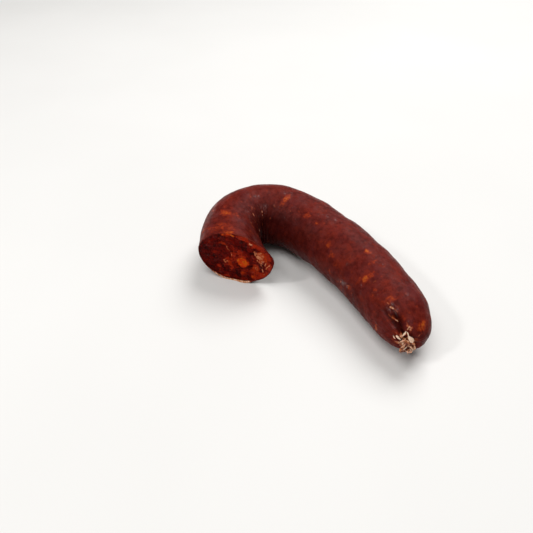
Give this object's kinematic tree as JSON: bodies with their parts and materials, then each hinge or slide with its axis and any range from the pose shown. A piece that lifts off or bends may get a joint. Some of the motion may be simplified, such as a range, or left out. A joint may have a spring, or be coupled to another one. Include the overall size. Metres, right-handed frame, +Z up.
{
  "type": "cured sausage",
  "caption": "Whole cured sausage bent into a hook, sliced across at a slant at one end and gathered into a short twisted tail at the other; it lies on its side.",
  "frame": {"origin": "on the plane that the sausage lies on, under the middle of its box", "axes": "+Y along the long leg from the gathered end to the bend, +Z up, the cut leg on the -X side"},
  "size_m": [0.0888, 0.1482, 0.0371],
  "materials": {
    "casing": "semi-gloss natural casing, deep maroon, with orange fat showing through",
    "meat": "moist chopped lean meat with orange and pale pieces of fat"
  },
  "bodies": {
    "root": {"sausage": "casing"}
  },
  "joints": []
}
